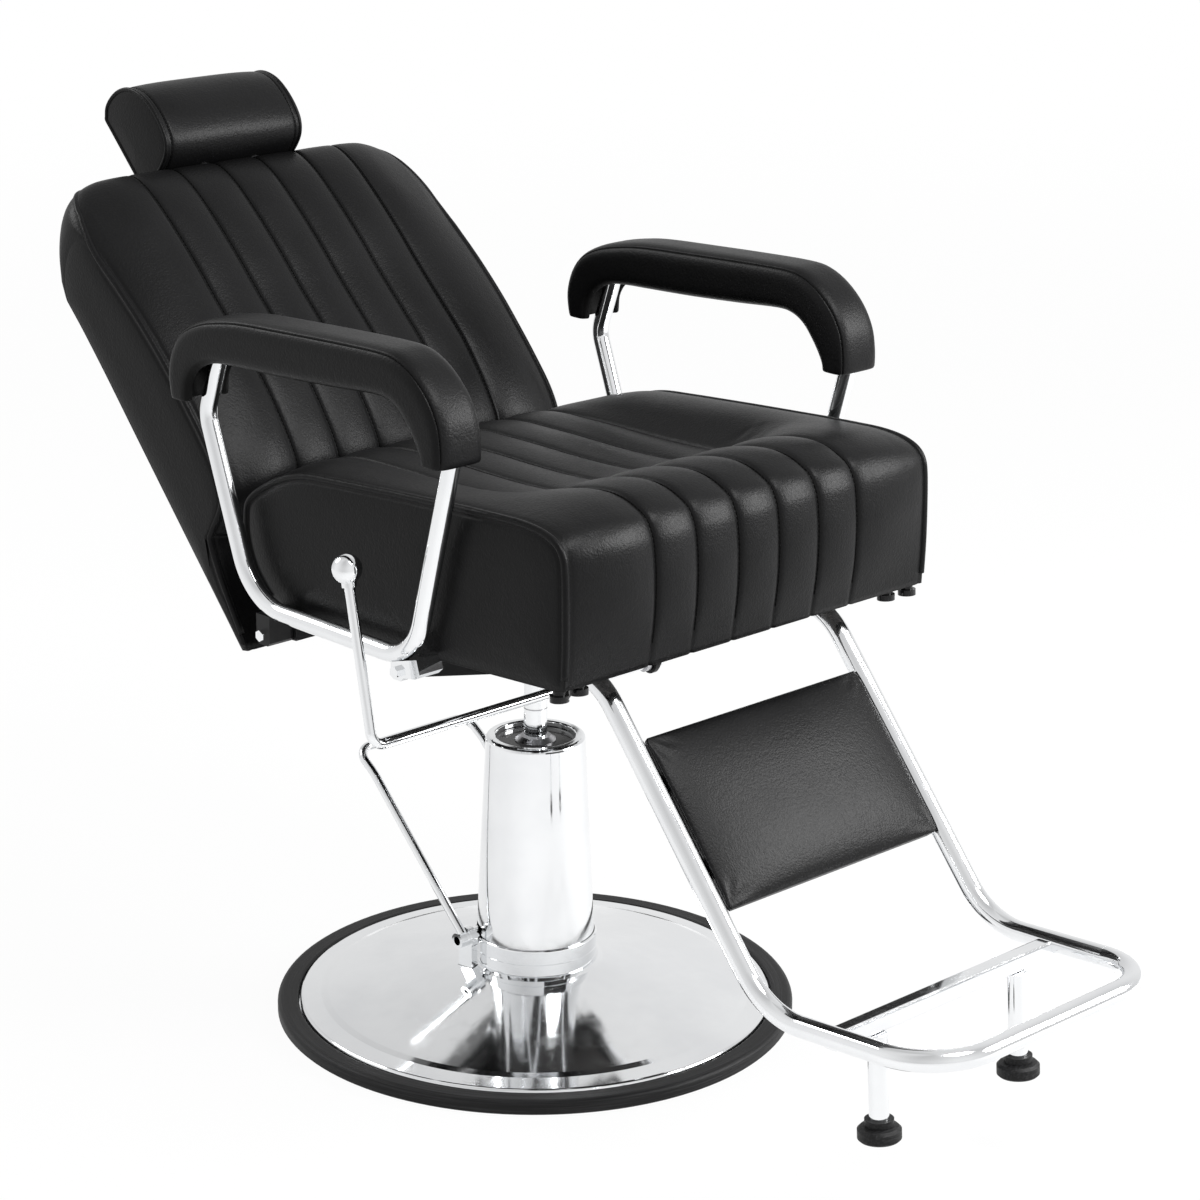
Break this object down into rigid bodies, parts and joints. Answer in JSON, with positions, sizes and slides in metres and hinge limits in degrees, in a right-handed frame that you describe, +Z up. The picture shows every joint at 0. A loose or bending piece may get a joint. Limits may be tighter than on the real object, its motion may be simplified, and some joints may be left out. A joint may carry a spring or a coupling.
{
  "type": "hydraulic barber chair",
  "caption": "Reclining barber chair on a hydraulic pump base, with chromed tubes, channelled black upholstery, footrest, headrest, pump pedal and recline lever.",
  "frame": {"origin": "centre of the round base at floor level", "axes": "+Z is up, -Y is the way the sitter faces, X is across the chair with the recline lever on the -X side"},
  "size_m": [0.7162, 1.4889, 1.0613],
  "materials": {
    "chrome": "polished chrome plate",
    "upholstery": "black artificial leather, soft sheen",
    "rubber": "matte black rubber",
    "black_plastic": "glossy black",
    "black_paint": "satin black enamel on steel",
    "plywood": "bare plywood",
    "plain_steel": "zinc-plated steel"
  },
  "bodies": {
    "base": {"base_plate": "black_paint", "rubber_rim": "rubber", "base_dome": "chrome", "base_collar": "chrome", "pump_cover": "chrome", "pump_cap": "black_plastic", "pump_body": "black_paint", "pump_gland": "plain_steel", "pump_bolts": "plain_steel", "pedal_lugs": "black_paint"},
    "pedal": {"pedal_bail": "chrome", "pump_finger": "plain_steel"},
    "plunger": {"pump_plunger": "chrome"},
    "ram": {"piston_rod": "chrome", "piston_seal": "rubber", "thrust_washer": "plain_steel"},
    "seat": {"seat_spindle": "chrome", "spindle_bolts": "plain_steel", "mount_plate": "black_paint", "side_rails": "black_paint", "front_cross_member": "black_paint", "rear_cross_member": "black_paint", "seat_board": "plywood", "seat_cushion": "upholstery", "seat_glides": "black_plastic", "arm_frame_left": "chrome", "arm_frame_right": "chrome", "arm_pad_left": "upholstery", "arm_pad_right": "upholstery", "arm_front_brackets": "chrome", "arm_rear_brackets": "black_paint", "arm_bolts": "chrome", "footrest_frame": "chrome", "footrest_crossbar": "chrome", "footrest_legs": "chrome", "rubber_feet": "rubber", "calf_board": "plywood", "calf_pad": "upholstery", "calf_straps": "black_paint", "recline_pins": "chrome", "lever_brackets": "black_paint", "lever_bushings": "black_plastic", "strut_bracket": "black_paint", "strut_barrel": "black_paint"},
    "lever": {"recline_lever": "chrome", "lever_knob": "chrome", "valve_finger": "plain_steel"},
    "valve": {"valve_pin": "chrome"},
    "strut": {"strut_rod": "chrome"},
    "backrest": {"backrest_cushion": "upholstery", "backrest_shell": "upholstery", "backrest_yoke": "black_paint", "headrest_guides": "black_plastic"},
    "headrest": {"headrest_pad": "upholstery", "headrest_posts": "chrome"}
  },
  "joints": [
    {"name": "lift", "type": "slide", "parent": "base", "child": "ram", "axis": [0, 0, 1], "range_m": [-0.03, 0.12]},
    {"name": "swivel", "type": "hinge", "parent": "ram", "child": "seat", "pos_m": [0, 0, 0.4], "axis": [0, 0, 1], "continuous": true},
    {"name": "pedal", "type": "hinge", "parent": "base", "child": "pedal", "pos_m": [0, 0.0345, 0.097], "axis": [-1, 0, 0], "range_deg": [0, 25], "stiffness_Nm_per_rad": 6, "springref_deg": -20.05},
    {"name": "plunger", "type": "slide", "parent": "base", "child": "plunger", "axis": [0, 0, -1], "range_m": [0, 0.009]},
    {"name": "recline", "type": "hinge", "parent": "seat", "child": "backrest", "pos_m": [0, 0.205, 0.53], "axis": [-1, 0, 0], "range_deg": [-15, 30]},
    {"name": "headrest_height", "type": "slide", "parent": "backrest", "child": "headrest", "axis": [0, 0.6921, 0.7218], "range_m": [0, 0.1]},
    {"name": "recline_lever", "type": "hinge", "parent": "seat", "child": "lever", "pos_m": [0, -0.122, 0.453], "axis": [-1, 0, 0], "range_deg": [0, 12], "stiffness_Nm_per_rad": 5, "springref_deg": -17.19},
    {"name": "valve", "type": "slide", "parent": "seat", "child": "valve", "axis": [0, 0.9975, -0.0705], "range_m": [0, 0.0033]},
    {"name": "strut", "type": "slide", "parent": "seat", "child": "strut", "axis": [0, 0.9975, -0.0705], "range_m": [-0.045, 0.023]}
  ],
  "couplings": [
    {"joint": "plunger", "follows": "pedal", "m_per_rad": 0.02},
    {"joint": "valve", "follows": "recline_lever", "m_per_rad": 0.015},
    {"joint": "strut", "follows": "recline", "m_per_rad": -0.0827}
  ]
}
